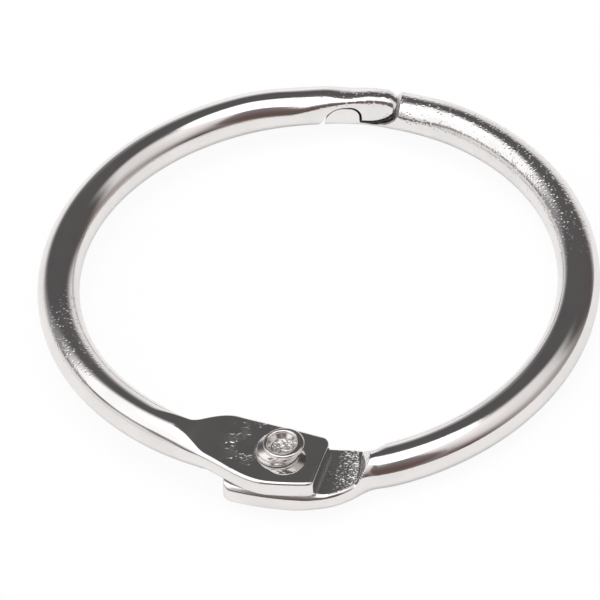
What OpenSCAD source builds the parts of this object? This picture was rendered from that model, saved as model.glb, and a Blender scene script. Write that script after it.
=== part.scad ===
// Hinged loose-leaf binder ring: two wire halves that lap and pivot on a
// hollow rivet and hook into each other on the far side.
// The origin is the centre of the closed ring, on the plane where the halves meet.
// The hinge lies towards -Y, the clasp towards +Y. Millimetres and degrees.

/* [Ring] */
// Inside diameter of the closed ring
inner_d = 25; // [20:1:76]
// Diameter of the round wire
wire_d = 2.2; // [1.8:0.1:3]

/* [Hinge tabs] */
// Thickness of each flattened tab
tab_t = 1.1; // [0.9:0.05:1.6]
// How far the upper tab stands out past the outer side of the wire
upper_out = 1.1; // [0.3:0.05:1.5]
// How far the lower tab stands out past the outer side of the wire
lower_out = 0.8; // [0.3:0.05:1.5]
// How far the upper tab stands in past the inner side of the wire
upper_in = 1.06; // [0.2:0.02:1.5]
// How far the lower tab stands in past the inner side of the wire
lower_in = 0.3; // [0:0.05:1]
// Slope of the upper tab's straight inner edge
upper_skew = 15.5; // [0:0.5:20]
// Distance from the rivet, along the wire, at which the wire starts to flatten
tab_root = 5; // [4.7:0.1:8]
// Length over which the inner edge spreads to its full width
inner_run = 2; // [1:0.1:2.5]
// Length over which the upper tab's outer edge spreads
upper_outer_run = 4.6; // [2:0.1:4.8]
// Length over which the lower tab's outer edge spreads
lower_outer_run = 3.4; // [2:0.1:4.8]
// Length over which the outer face sinks from the wire to the tab
face_run = 2.2; // [1:0.1:3]
// Reach of the upper tab past the rivet axis
upper_reach = 2.08; // [1.6:0.02:2.6]
// Reach of the lower tab past the rivet axis
lower_reach = 3; // [1.6:0.05:3]
// Slope of the upper tab's end, from square
upper_end_slope = 10; // [0:0.5:12]
// Radius of the outer face's edges
edge_r = 0.18; // [0.1:0.02:0.4]
// Radius of the corners on the inner side of the tab ends, seen from above
inner_corner = 0.4; // [0.1:0.05:0.8]
// Radius of the corners on the outer side of the tab ends, seen from above
outer_corner = 0.15; // [0.05:0.05:0.8]
// Radius, about the rivet, of the step where each mating face ends
step_r = 3.85; // [3.75:0.05:4.4]
// Length of the step's ramp, from the mating face to the top of the wire
step_ramp = 0.35; // [0.1:0.05:0.8]

/* [Rivet] */
// Diameter of the rivet shank
shank_d = 1.6; // [1.2:0.1:2]
// Diameter of the head where it bulges over the tab
head_d = 2.4; // [2.3:0.05:3]
// Height of the head above the upper tab
head_h = 0.7; // [0.6:0.05:1]
// Radius of the head's bulge
bulge_r = 0.3; // [0.2:0.02:0.3]
// Outside diameter of the rim on top of the head
rim_d = 2.1; // [1.9:0.05:2.2]
// Thickness of the rim
rim_t = 0.26; // [0.1:0.02:0.3]
// Diameter of the cup at its floor
cup_d = 1.3; // [0.8:0.05:1.4]
// Depth of the cup
cup_depth = 0.5; // [0.3:0.05:2]
// Diameter of the flat foot head under the lower tab
foot_d = 2.3; // [2.1:0.05:3]
// Thickness of the foot head
foot_h = 0.65; // [0.4:0.05:1]
// Chamfer round the foot head
foot_chamfer = 0.15; // [0.05:0.05:0.3]

/* [Clasp] */
// Left side of the hook hump, from the clasp's centre line
hook_left = 1.26; // [1.1:0.02:1.6]
// Right side of the hook hump, from the clasp's centre line
hook_right = 0.66; // [0.6:0.02:0.8]
// Height of the hump's crest over the wire's centre
hook_crest = 0.2; // [0:0.02:0.4]
// Radius of the hump's shallow left side
hook_left_r = 1.12; // [0.9:0.02:1.2]
// Radius of the hump's steep right side
hook_right_r = 0.48; // [0.3:0.02:0.6]
// Depth of the bulb's underside under the wire's centre
bulb_drop = 0.57; // [0.3:0.01:0.7]
// Radius of the bulb's underside
bulb_r = 1.65; // [1.4:0.05:1.9]
// Centre of the bulb's underside, to the right of the clasp's centre line
bulb_x = 1.16; // [1:0.02:1.5]
// Radius of the bulb's nose
nose_r = 0.9; // [0.5:0.05:1.2]
// Depth of the dip over the neck
neck_dip = 0.22; // [0.05:0.01:0.3]
// Half the length of the dip over the neck
neck_half = 1.1; // [0.8:0.1:1.6]
// Middle of the dip, to the right of the clasp's centre line
neck_x = 0.15; // [-0.3:0.05:0.5]
// Direction in which the dip is deepest, turned from straight up towards the outside
neck_lean = 20; // [0:5:60]
// How far the dip's own axis lies off the wire's centre, so that the dip fades to both sides
neck_offset = 0.3; // [0.2:0.02:0.5]
// Lean of the shoulder beside the hook
shoulder_lean = 0.5; // [0:0.05:0.8]
// Distance of the pressed inner flats from the wire's centre
inner_flat = 0.67; // [0.5:0.01:0.85]
// Radius of the flat along the neck and bulb, seen from above
bulb_flat_r = 9.6; // [7:0.1:9.8]
// Radius of the flat along the hook, seen from above
hook_flat_r = 5; // [4:0.1:6]

/* [Fits] */
// Radial clearance of the rivet shank in each tab
pivot_gap = 0.04; // [0.02:0.01:0.1]
// Clearance between faces that slide on each other at the hinge
face_gap = 0.02; // [0.01:0.01:0.1]
// Clearance between the two halves round the hook and under the bulb
clasp_gap = 0.08; // [0.04:0.01:0.15]
// Further clearance in front of the bulb's nose
nose_gap = 0.08; // [0:0.01:0.2]

/* [Hidden] */
$fn = 96;

nickel = [0.78, 0.78, 0.76];
wire_r = wire_d / 2;
ring_r = (inner_d + wire_d) / 2;
// Each half climbs from the clasp to the hinge, so that its tab lies in line with its wire
lift = (tab_t + face_gap) / 2;
tilt = asin(lift / (2 * ring_r));
face_z = tab_t + face_gap / 2;
// Taller than the ring and wider than its tabs, for cutters
tall = 4 * wire_d;
wide = 2 * ring_r;
// Keeps the flats of the flattened end inside the wire's round surface where they meet
tuck = 0.02;
// Where the wire ends, inside the still round start of the flattened end, and how far they overlap
wire_stop = tab_root + 0.5;
overlap = 0.4;
// How much sooner than the outer edge the inner edge starts to spread and the face to sink
inner_lead = 0.3;
face_lead = 0.2;
// Angles from +X at which the wires start, past the cut ends of the clasp
left_start = 75;
right_start = 80;
// Part of each corner at the tab's end that is drawn, in degrees
tip_turn = 80;
// Points on each corner of a section, and steps where the end spreads, stays flat and ends
corner_steps = 6;
spread_steps = 20;
flat_steps = 3;
end_steps = 4;
// Steps round the ring and round the wire
ring_steps = 240;
wire_steps = 48;

function clamp01(t) = min(1, max(0, t));
function mix(a, b, t) = a + (b - a) * t;
// Change from 0 at "from" to 1 at "from - run": smooth at both ends, or with a quick start
function ease(s, from, run) =
    let (t = clamp01((from - s) / run)) t * t * (3 - 2 * t);
function swell(s, from, run) =
    let (t = clamp01((from - s) / run)) t * (2 - t);
function arc_deg(s) = s / ring_r * 180 / PI;
// Direction outwards from the ring's centre, a degrees round from the hinge
function outwards(a) = [-sin(a), -cos(a)];
// Distance along e from c to a circle about the ring's centre, and to a straight edge
function to_circle(c, e, r) =
    let (along = c * e) sqrt(along * along - c * c + r * r) - along;
function to_edge(c, e, n, d) = (d - c * n) / (e * n);

// Height of the wire's centre at distance s from the rivet
function wire_z(s) = lift * (1 + cos(arc_deg(s))) / 2;

// One corner of a section, as points round a quarter circle
function corner(u, z, r, a) =
    [for (k = [0 : corner_steps])
        [u + r * cos(a + 90 * k / corner_steps), z + r * sin(a + 90 * k / corner_steps)]];

// Section with a flat outer face and the wire's own rounding on the mating side
function section(u0, u1, z0, z1, face_r) =
    let (mate_r = min(wire_r, (u1 - u0) / 2, z1 - z0 - face_r))
    concat(
        corner(u1 - face_r, z1 - face_r, face_r, 0),
        corner(u0 + face_r, z1 - face_r, face_r, 90),
        corner(u0 + mate_r, z0 + mate_r, mate_r, 180),
        corner(u1 - mate_r, z0 + mate_r, mate_r, 270));

// Section of a flattened end at distance s from the rivet; "trim" is 1 where its corners end
function end_section(s, reach, inset, skew, outset, outer_run, slope, trim) =
    let (
        c = ring_r * outwards(arc_deg(s)),
        t = clamp01((tab_root - s) / (tab_root + reach)),
        e = outwards(mix(arc_deg(max(s, tab_root)), slope, t)),
        edge = to_edge(c, e, outwards(skew), ring_r - wire_r - inset),
        rim = to_circle(c, e, ring_r + wire_r + outset),
        round_r = wire_r - tuck,
        u0 = mix(-round_r, edge, swell(s, tab_root + inner_lead, inner_run)) + trim * inner_corner,
        u1 = mix(round_r, rim, ease(s, tab_root, outer_run)) - trim * outer_corner,
        sunk = ease(s, tab_root + face_lead, face_run),
        z1 = mix(wire_z(s) + round_r, face_z, sunk) - trim * edge_r,
        z0 = wire_z(s) - round_r,
        face_r = mix(round_r, edge_r, sunk)
    )
    [for (p = section(u0, u1, z0, z1, face_r)) [c.x + p.x * e.x, c.y + p.x * e.y, p.y]];

// Closed skin over a row of sections that have as many points each
module loft(rows) {
    n = len(rows[0]);
    last = (len(rows) - 1) * n;
    sides = [for (i = [0 : len(rows) - 2], j = [0 : n - 1])
        let (a = i * n + j, b = i * n + (j + 1) % n) each [[a, b, b + n], [a, b + n, a + n]]];
    caps = [[for (j = [n - 1 : -1 : 0]) j], [for (j = [0 : n - 1]) last + j]];
    polyhedron(points = [for (row = rows) each row], faces = concat(sides, caps), convexity = 4);
}

// The flattened end of a half, as it grows out of the wire, before its mating face is cut
module flattened_end(reach, inset, skew, outset, outer_run, slope) {
    start = wire_stop + overlap;
    settled = tab_root - max(inner_run, outer_run, face_run);
    stop = inner_corner - reach;
    spread = [for (k = [0 : spread_steps]) [mix(start, settled, k / spread_steps), 0]];
    flat = [for (k = [1 : flat_steps]) [mix(settled, stop, k / flat_steps), 0]];
    tip = [for (k = [1 : end_steps]) let (a = tip_turn * k / end_steps)
        [stop - inner_corner * sin(a), 1 - cos(a)]];
    loft([for (p = concat(spread, flat, tip))
        end_section(p[0], reach, inset, skew, outset, outer_run, slope, p[1])]);
}

// Round wire from angle a0 to a1 about +Z, climbing towards the hinge
module wire(a0, a1, r) {
    translate([0, ring_r, 0]) rotate([-tilt, 0, 0]) translate([0, -ring_r, 0])
        rotate_extrude(angle = a1 - a0, start = a0, $fn = ring_steps)
            translate([ring_r, 0]) circle(r, $fn = wire_steps);
}

// Cuts the mating face of the tab, up to a conical step about the rivet
module mating_face() {
    translate([0, -ring_r, face_gap / 2 - tall])
        cylinder(h = tall, r1 = step_r + step_ramp * tall / (wire_r - lift), r2 = step_r);
}

module rivet_hole() {
    translate([0, -ring_r, -tall]) cylinder(h = 2 * tall, r = shank_d / 2 + pivot_gap);
}

// Wire and flattened end of a half whose tab lies on top
module half(clasp_end, reach, inset, skew, outset, outer_run, slope) {
    difference() {
        union() {
            wire(clasp_end, 270 - arc_deg(wire_stop), wire_r);
            flattened_end(reach, inset, skew, outset, outer_run, slope);
        }
        mating_face();
        rivet_hole();
    }
}

// Turns a half over, about the line from the hinge to the clasp
module turned_over() {
    rotate([0, 180, 0]) children();
}

// Runs a clasp profile, drawn over X and Z, through the wire on the clasp side
module through_clasp() {
    translate([0, 2 * ring_r, 0]) rotate([90, 0, 0]) linear_extrude(2 * ring_r) children();
}

// Hump of the hook, grown by the gap g
module hook_outline(g) {
    left = -hook_left + hook_left_r;
    right = hook_right - hook_right_r;
    left_z = hook_crest - hook_left_r;
    right_z = hook_crest - hook_right_r;
    intersection() {
        translate([left, left_z]) circle(hook_left_r + g);
        translate([left - tall, -tall]) square([tall, 2 * tall]);
    }
    translate([right, right_z]) circle(hook_right_r + g);
    translate([left, -tall]) square([right - left, tall + hook_crest + g]);
    translate([-hook_left - g, -tall]) square([hook_left_r + g, tall + left_z]);
    translate([right, -tall]) square([hook_right_r + g, tall + right_z]);
}

// Underside of the bulb and of the neck over it, grown by the gap g, with the nose moved out by n
module bulb_outline(g, n) {
    translate([bulb_x + n, bulb_r - bulb_drop]) circle(bulb_r + g);
    translate([-hook_left, -bulb_drop - g]) square([hook_left + bulb_x + n, tall]);
}

// Everything of the left half past its shoulder that isn't neck or bulb
module left_cut() {
    tip_x = bulb_x + bulb_r;
    root_x = -hook_left - clasp_gap;
    difference() {
        polygon([
            [root_x - shoulder_lean, -wire_r],
            [root_x - shoulder_lean, -tall],
            [wide, -tall],
            [wide, tall],
            [bulb_x, tall],
            [bulb_x, -bulb_drop],
            [root_x, -bulb_drop]
        ]);
        bulb_outline(0, 0);
    }
    hook_outline(clasp_gap);
    // Over the bulb's nose
    difference() {
        translate([tip_x - nose_r, wire_r - nose_r]) square(wide);
        translate([tip_x - nose_r, wire_r - nose_r]) circle(nose_r);
    }
}

// Everything of the right half that makes room for the neck and the bulb
module right_cut() {
    difference() {
        union() {
            bulb_outline(clasp_gap, nose_gap);
            translate([-wide, -tall]) square([wide + bulb_x - bulb_r, 2 * tall]);
        }
        hook_outline(0);
    }
}

// Waist that is pressed into the neck, over its top and its outer side
module neck_dip_cut() {
    waist_r = wire_r - neck_dip + neck_offset;
    dip_r = (neck_half * neck_half + neck_dip * neck_dip) / (2 * neck_dip);
    translate([neck_x, ring_r, 0]) rotate([-neck_lean, 0, 0]) translate([0, 0, -neck_offset])
        rotate([0, 90, 0]) rotate_extrude() translate([waist_r + dip_r, 0]) circle(dip_r);
}

// Flat along the inner side of the clasp, of radius r seen from above and deepest at x
module inner_flat_cut(x, r) {
    intersection() {
        translate([x, ring_r - inner_flat - r, -tall]) cylinder(h = 2 * tall, r = r);
        translate([-wide, ring_r - wire_d, -tall]) cube([2 * wide, wire_d, 2 * tall]);
    }
}

module left_half_ring() {
    color(nickel) difference() {
        half(left_start, upper_reach, upper_in, upper_skew, upper_out, upper_outer_run, upper_end_slope);
        through_clasp() left_cut();
        neck_dip_cut();
        inner_flat_cut(bulb_x, bulb_flat_r);
    }
}

module right_half_ring() {
    color(nickel) difference() {
        turned_over() half(right_start, lower_reach, lower_in, 0, lower_out, lower_outer_run, 0);
        through_clasp() right_cut();
        inner_flat_cut(0, hook_flat_r);
    }
}

// Section of the rolled head: a bulge over the tab, which draws in to a rim on top
module head_section(top) {
    bulge = [head_d / 2 - bulge_r, face_z + bulge_r];
    rim = [(rim_d - rim_t) / 2, top - rim_t / 2];
    way = rim - bulge;
    // Direction in which both circles meet the straight side between them
    side = atan2(way.y, way.x) - acos((bulge_r - rim_t / 2) / norm(way));
    face = [cos(side), sin(side)];
    translate(bulge) circle(bulge_r);
    translate(rim) circle(rim_t / 2);
    polygon([
        [0, face_z],
        [bulge.x, face_z],
        bulge + bulge_r * face,
        rim + rim_t / 2 * face,
        [rim.x, top],
        [0, top]
    ]);
}

module hinge_rivet() {
    top = face_z + head_h;
    under = -face_z - face_gap;
    mouth_r = (rim_d - rim_t) / 2;
    color(nickel) translate([0, -ring_r, 0]) difference() {
        union() {
            rotate_extrude() head_section(top);
            translate([0, 0, under]) cylinder(h = face_z - under + bulge_r, r = shank_d / 2);
            translate([0, 0, under - foot_h + foot_chamfer])
                cylinder(h = foot_h - foot_chamfer, r = foot_d / 2);
            translate([0, 0, under - foot_h])
                cylinder(h = foot_chamfer, r1 = foot_d / 2 - foot_chamfer, r2 = foot_d / 2);
        }
        translate([0, 0, top - cup_depth]) cylinder(h = cup_depth, r1 = cup_d / 2, r2 = mouth_r);
        translate([0, 0, top - tuck]) cylinder(h = tall, r = mouth_r);
    }
}

left_half_ring();
right_half_ring();
hinge_rivet();
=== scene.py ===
"""Hinged binder ring of nickel-plated steel wire: models the two halves and the rivet, and sets the stage."""

from math import acos, atan2, cos, degrees, pi, radians, sin, sqrt
from types import SimpleNamespace

import bpy
from mathutils import Matrix, Vector


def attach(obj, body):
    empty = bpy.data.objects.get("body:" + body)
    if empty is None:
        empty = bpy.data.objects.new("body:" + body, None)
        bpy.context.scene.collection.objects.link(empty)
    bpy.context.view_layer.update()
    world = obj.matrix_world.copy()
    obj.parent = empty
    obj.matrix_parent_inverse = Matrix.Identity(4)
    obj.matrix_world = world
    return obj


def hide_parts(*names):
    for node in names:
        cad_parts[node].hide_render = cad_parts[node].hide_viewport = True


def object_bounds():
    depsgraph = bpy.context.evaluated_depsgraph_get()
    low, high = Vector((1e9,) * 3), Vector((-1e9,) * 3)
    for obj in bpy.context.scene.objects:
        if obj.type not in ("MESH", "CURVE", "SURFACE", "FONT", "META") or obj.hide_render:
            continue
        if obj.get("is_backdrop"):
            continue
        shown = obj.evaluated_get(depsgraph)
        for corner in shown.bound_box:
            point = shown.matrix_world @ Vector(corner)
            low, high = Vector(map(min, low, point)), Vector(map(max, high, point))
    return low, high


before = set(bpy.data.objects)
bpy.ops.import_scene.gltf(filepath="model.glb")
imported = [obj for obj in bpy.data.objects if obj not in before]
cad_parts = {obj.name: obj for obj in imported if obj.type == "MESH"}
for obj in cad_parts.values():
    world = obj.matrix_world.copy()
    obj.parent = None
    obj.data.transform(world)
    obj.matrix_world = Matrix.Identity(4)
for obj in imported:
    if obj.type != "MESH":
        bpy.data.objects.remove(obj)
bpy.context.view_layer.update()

bl_info = {
    "name": "Binder ring",
    "version": (1, 0, 0),
    "blender": (4, 5, 0),
    "location": "3D View > Sidebar > Binder ring",
    "description": "Models a hinged loose-leaf binder ring and its studio stage",
    "category": "Object",
}

MM = 0.001
MICRON = 0.001 * MM
QUARTER_TURN = pi / 2
MERGE = 1e-5  # points nearer than this, in millimetres, become one
SHARP = radians(28)  # edges that turn more than this stay crisp
FACE_WEIGHT = 60  # how far large faces hold their shading flat against the small ones beside them


# ---------------------------------------------------------------- sizes and finishes


def length(name, size, description):
    """A length in millimetres, kept in metres."""
    return bpy.props.FloatProperty(
        name=name, description=description, default=size * MM, precision=5, unit="LENGTH", subtype="DISTANCE"
    )


def share(name, value, description):
    """A plain number."""
    return bpy.props.FloatProperty(name=name, description=description, default=value, precision=3)


def turn(name, value, description):
    """An angle in degrees, kept in radians."""
    return bpy.props.FloatProperty(
        name=name, description=description, default=radians(value), subtype="ANGLE"
    )


def linear(code):
    """The linear RGB of an sRGB hex colour."""
    parts = [int(code[i : i + 2], 16) / 255 for i in (1, 3, 5)]
    return tuple(c / 12.92 if c <= 0.04045 else ((c + 0.055) / 1.055) ** 2.4 for c in parts)


def colour(name, code, description):
    """A colour given as an sRGB hex value."""
    return bpy.props.FloatVectorProperty(
        name=name, description=description, default=linear(code), size=3, min=0, max=1, subtype="COLOR"
    )


class RingSizes(bpy.types.PropertyGroup):
    """The closed ring and its wire."""

    inner_d: length("Inside diameter", 25, "Inside diameter of the closed ring")
    wire_d: length("Wire", 2.2, "Diameter of the round wire")
    tab_t: length("Tab thickness", 1.1, "Thickness of each flattened tab")
    face_gap: length("Face gap", 0.02, "Clearance between the faces that slide at the hinge")
    pivot_gap: length("Pivot gap", 0.04, "Radial clearance of the rivet in the tabs")
    tab_root: length("Tab root", 5, "Distance from the rivet at which the wire starts to flatten")
    inner_run: length("Inner spread", 2, "Length over which the inner edge spreads")
    face_run: length("Face run", 2.4, "Length over which the outer face sinks to the tab")
    edge_r: length("Edge radius", 0.18, "Radius of the outer face's edges")
    inner_corner: length("Inner corner", 0.4, "Radius of the inner corners of the tab ends, seen from above")
    outer_corner: length("Outer corner", 0.15, "Radius of the outer corners of the tab ends, seen from above")
    step_r: length("Step radius", 3.85, "Radius about the rivet of the step where a mating face ends")


class TabSizes(bpy.types.PropertyGroup):
    """The plan of the two tabs."""

    upper_out: length("Upper outside", 1.1, "How far the upper tab stands out past the wire's outer side")
    upper_in: length("Upper inside", 1.06, "How far the upper tab stands in past the wire's inner side")
    upper_run: length("Upper outer spread", 4.3, "Length over which the upper tab's outer edge spreads")
    upper_reach: length("Upper reach", 2.08, "Reach of the upper tab past the rivet")
    upper_skew: turn("Upper edge slope", 15.5, "Slope of the upper tab's inner edge")
    upper_end: turn("Upper end slope", 10, "Slope of the upper tab's end")
    lower_out: length("Lower outside", 0.88, "How far the lower tab stands out past the wire's outer side")
    lower_in: length("Lower inside", 0.3, "How far the lower tab stands in past the wire's inner side")
    lower_run: length("Lower outer spread", 2.9, "Length over which the lower tab's outer edge spreads")
    lower_reach: length("Lower reach", 3, "Reach of the lower tab past the rivet")


class ClaspSizes(bpy.types.PropertyGroup):
    """The hook and the bulb where the ring opens."""

    hook_left: length("Hook left", 1.26, "Left side of the hump, from the clasp's centre line")
    hook_right: length("Hook right", 0.66, "Right side of the hump, from the clasp's centre line")
    hook_crest: length("Hook crest", 0.2, "Height of the hump's crest over the wire's centre")
    hook_left_r: length("Hook left radius", 1.12, "Radius of the hump's shallow side")
    hook_right_r: length("Hook right radius", 0.48, "Radius of the hump's steep side")
    bulb_drop: length("Bulb drop", 0.57, "Depth of the bulb's underside under the wire's centre")
    bulb_r: length("Bulb radius", 1.65, "Radius of the bulb's underside")
    bulb_x: length("Bulb centre", 1.16, "Centre of the bulb's underside, right of the clasp's centre line")
    nose_r: length("Nose radius", 0.9, "Radius of the bulb's nose")
    neck_dip: length("Neck dip", 0.1, "Depth of the waist pressed into the neck")
    neck_half: length("Neck half length", 1.1, "Half the length of the waist")
    neck_x: length("Neck centre", 0.15, "Middle of the waist, right of the clasp's centre line")
    neck_lean: turn("Neck lean", 20, "Direction of the waist, from straight up towards the outside")
    shoulder_lean: length("Shoulder lean", 0.5, "Lean of the shoulder beside the hook")
    inner_flat: length("Inner flat", 0.67, "Distance of the pressed inner flats from the wire's centre")
    bulb_hollow: share("Bulb hollow", 0.19, "Lean of the bulb's flat one millimetre up, in millimetres")
    bulb_flat_r: length("Bulb flat radius", 9.6, "Radius of the flat along neck and bulb, seen from above")
    hook_flat_r: length("Hook flat radius", 5, "Radius of the flat along the hook, seen from above")
    crease: length("Crease", 0.36, "Width over which the wire rolls into its pressed inner flat")
    clasp_gap: length("Clasp gap", 0.135, "Clearance between the halves round the hook")
    nose_gap: length("Nose gap", 0.05, "Further clearance in front of the nose")


class RivetSizes(bpy.types.PropertyGroup):
    """The hollow rivet that the halves turn on."""

    shank_d: length("Shank", 1.6, "Diameter of the shank")
    head_d: length("Head", 2.24, "Diameter of the head where it bulges over the tab")
    head_h: length("Head height", 0.69, "Height of the head above the upper tab")
    rim_d: length("Rim", 2.08, "Outside diameter of the rim on top of the head")
    rim_t: length("Rim thickness", 0.26, "Thickness of the rim")
    cup_d: length("Cup floor", 1.12, "Diameter of the cup at its floor")
    cup_depth: length("Cup depth", 0.42, "Depth of the cup")
    lean: length("Lean", 0.3, "How far the rim stands off the head's foot, away from the tab's inner edge")
    foot_d: length("Foot", 2.28, "Diameter of the flat head under the lower tab")
    foot_h: length("Foot height", 0.65, "Thickness of the flat head")
    foot_chamfer: length("Foot chamfer", 0.15, "Chamfer round the flat head")


class Finish(bpy.types.PropertyGroup):
    """The nickel plate."""

    nickel: colour("Nickel", "#E8E7E6", "Colour of the bright nickel plate")
    rivet: colour("Rivet nickel", "#E2DFDD", "Colour of the rivet's plate")
    haze: share("Haze", 0.04, "Roughness of the polished plate")
    rivet_haze: share("Rivet haze", 0.06, "Roughness of the rivet's plate")


class StageLook(bpy.types.PropertyGroup):
    """The studio."""

    floor: colour("Floor", "#F4F3F2", "Colour of the floor")


# ---------------------------------------------------------------- modelling helpers


def in_mm(group):
    """The group's values under the same names: lengths in millimetres, angles in radians."""
    units = {key: group.bl_rna.properties[key].unit for key in group.__annotations__}
    return SimpleNamespace(
        **{key: getattr(group, key) / (MM if unit == "LENGTH" else 1) for key, unit in units.items()}
    )


def sizes(context):
    """The sizes of the ring, with what follows from them, and those of the tabs, the clasp and the rivet."""
    scene = context.scene
    ring = in_mm(scene.ring_sizes)
    ring.wire_r = ring.wire_d / 2
    ring.ring_r = (ring.inner_d + ring.wire_d) / 2
    ring.lift = (ring.tab_t + ring.face_gap) / 2
    ring.face_z = ring.tab_t + ring.face_gap / 2
    return ring, in_mm(scene.ring_tabs), in_mm(scene.ring_clasp), in_mm(scene.ring_rivet)


def clamp01(t):
    """t, held between 0 and 1."""
    return min(1.0, max(0.0, t))


def mix(a, b, t):
    """a at 0, b at 1, and straight between."""
    return a + (b - a) * t


def ease(s, start, run):
    """Change from 0 at start to 1 at start - run, smooth at both ends."""
    t = clamp01((start - s) / run)
    return t * t * (3 - 2 * t)


def swell(s, start, run, soft=0.3):
    """Change from 0 at start to 1 at start - run, quick at first, after a share soft that sets in slowly."""
    t = clamp01((start - s) / run)
    t = (t * t / (2 * soft) if t < soft else t - soft / 2) / (1 - soft / 2)
    return t * (2 - t)


def slope(s, start, run, soft=0.12):
    """Change from 0 at start to 1 at start - run, straight but for a rounded share soft at each end."""
    t = clamp01((start - s) / run)
    if t < soft:
        t = t * t / (2 * soft)
    elif t > 1 - soft:
        t = 1 - soft - (1 - t) * (1 - t) / (2 * soft)
    else:
        t -= soft / 2
    return t / (1 - soft)


def rest():
    """Back to object mode with nothing selected."""
    if bpy.context.object and bpy.context.object.mode != "OBJECT":
        bpy.ops.object.mode_set(mode="OBJECT")
    bpy.ops.object.select_all(action="DESELECT")


def only(obj):
    """Makes obj the one that is selected and active."""
    rest()
    obj.select_set(True)
    bpy.context.view_layer.objects.active = obj


def edit(obj, mode="VERT"):
    """Opens obj for editing with nothing selected."""
    only(obj)
    bpy.ops.object.mode_set(mode="EDIT")
    bpy.ops.mesh.select_mode(type=mode)
    bpy.ops.mesh.select_all(action="DESELECT")


def pick(obj, test):
    """Selects the vertices whose place passes the test, in edit mode."""
    bpy.ops.object.mode_set(mode="OBJECT")
    for vertex in obj.data.vertices:
        if test(vertex.co):
            vertex.select = True
    bpy.ops.object.mode_set(mode="EDIT")


def applied(obj, kind, **settings):
    """Adds a modifier to obj and applies it."""
    only(obj)
    made = obj.modifiers.new(kind.title(), kind)
    for key, value in settings.items():
        setattr(made, key, value)
    bpy.ops.object.modifier_apply(modifier=made.name)


def cut(obj, cutter):
    """Cuts obj with the closed solid cutter, which is then removed."""
    applied(obj, "BOOLEAN", object=cutter, operation="DIFFERENCE", solver="EXACT")
    bpy.data.objects.remove(cutter)
    return obj


def outward(obj):
    """Merges doubles and turns the normals outwards."""
    edit(obj)
    bpy.ops.mesh.select_all(action="SELECT")
    bpy.ops.mesh.remove_doubles(threshold=MERGE)
    bpy.ops.mesh.normals_make_consistent(inside=False)
    rest()
    return obj


def skin(rows, name):
    """A skin over rows of points, closed round each row and open at its ends, shaped from a grid."""
    count = len(rows[0])
    rest()
    bpy.ops.mesh.primitive_grid_add(x_subdivisions=count, y_subdivisions=len(rows) - 1, size=1)
    obj = bpy.context.object
    obj.name = name
    places = [row[i % count] for row in rows for i in range(count + 1)]
    obj.data.vertices.foreach_set("co", [c for p in places for c in p])
    edit(obj)
    bpy.ops.mesh.select_all(action="SELECT")
    bpy.ops.mesh.remove_doubles(threshold=MERGE)
    return obj


# What cuts the ring, in millimetres
TALL = 9.0  # half its height
WIDE = 27.0  # its reach to either side
NEAR_SIDE, DEEP = 5.0, 15.0  # where it begins, beyond the ring's centre, and how far it runs


def prism(points, name):
    """A solid over an outline in X and Z, run through the clasp along Y."""
    rest()
    bpy.ops.mesh.primitive_circle_add(vertices=len(points), fill_type="NGON")
    obj = bpy.context.object
    obj.name = name
    obj.data.vertices.foreach_set("co", [c for x, z in points for c in (x, NEAR_SIDE, z)])
    edit(obj)
    bpy.ops.mesh.select_all(action="SELECT")
    bpy.ops.mesh.extrude_region_move(TRANSFORM_OT_translate={"value": (0, DEEP, 0)})
    return outward(obj)


def arc(cx, cz, r, a0, a1, steps=48):
    """Points round part of a circle, in degrees from the first axis towards the second."""
    turns = [radians(mix(a0, a1, k / steps)) for k in range(steps + 1)]
    return [(cx + r * cos(a), cz + r * sin(a)) for a in turns]


def finished(obj, name, finish, body, slot, *nodes):
    """Brings a piece from millimetres to metres, gives it its finish and puts it in place of its solid."""
    only(obj)
    obj.name = name
    obj.data.name = name
    bpy.ops.transform.resize(value=(MM, MM, MM), center_override=(0, 0, 0))
    bpy.ops.object.transform_apply(location=True, rotation=True, scale=True)
    bpy.ops.object.shade_smooth_by_angle(angle=SHARP)
    applied(obj, "WEIGHTED_NORMAL", keep_sharp=True, weight=FACE_WEIGHT)
    rest()
    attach(obj, body)
    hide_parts(*nodes)
    obj.data.materials.clear()
    obj.data.materials.append(finish)


# ---------------------------------------------------------------- the wire halves

CORNER = 24  # steps round a quarter of a section
NOSE_RINGS = 14
BEND_RINGS = 260  # along the round wire
LONG_RINGS = 60  # along the flattened end before its ramp, and again after it
RAMP_RINGS = 36
TIP_RINGS = 10
TIP_TURN = 84  # degrees by which the tip rounds over, up to its flat end
HOOK_START = 80  # degrees from +X to the hook's end of the wire, before it is cut
HELD = radians(46)  # as the inner corner sharpens, the part of it that faces this far up stays in place
CLASP_SIDE = 0.6  # share of the ring's radius beyond which the wire belongs to the clasp
FLAT_SHARE = 0.7  # share of its radius over which a pressed flat reaches along the wire
NECK_CREASE = 0.5  # share of the crease's width that it has at the neck
# Lengths in millimetres
LEAD = 3.0  # from the tab's root out to where the flattened end begins
SEAM = 0.1  # bridge between the round wire and the flattened end
INNER_LEAD = 0.3  # from the tab's root out to where the inner edge begins to spread
RAMP_MARGIN = 0.3  # the rings stay dense this far past the step
ROLL_LEAD, ROLL_RUN = 0.1, 0.5  # about the step, the mating side's edges change from pressed to rolled
UNDER_LAG, UNDER_RUN = 1.5, 1.2  # past the step, the rolled edge takes the radius that it has under the rivet
PINCH = 0.2  # radius of the spot where the neck is pinched


def direction(a):
    """Direction from the ring's centre, a radians round from the hinge."""
    return Vector((-sin(a), -cos(a)))


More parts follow.
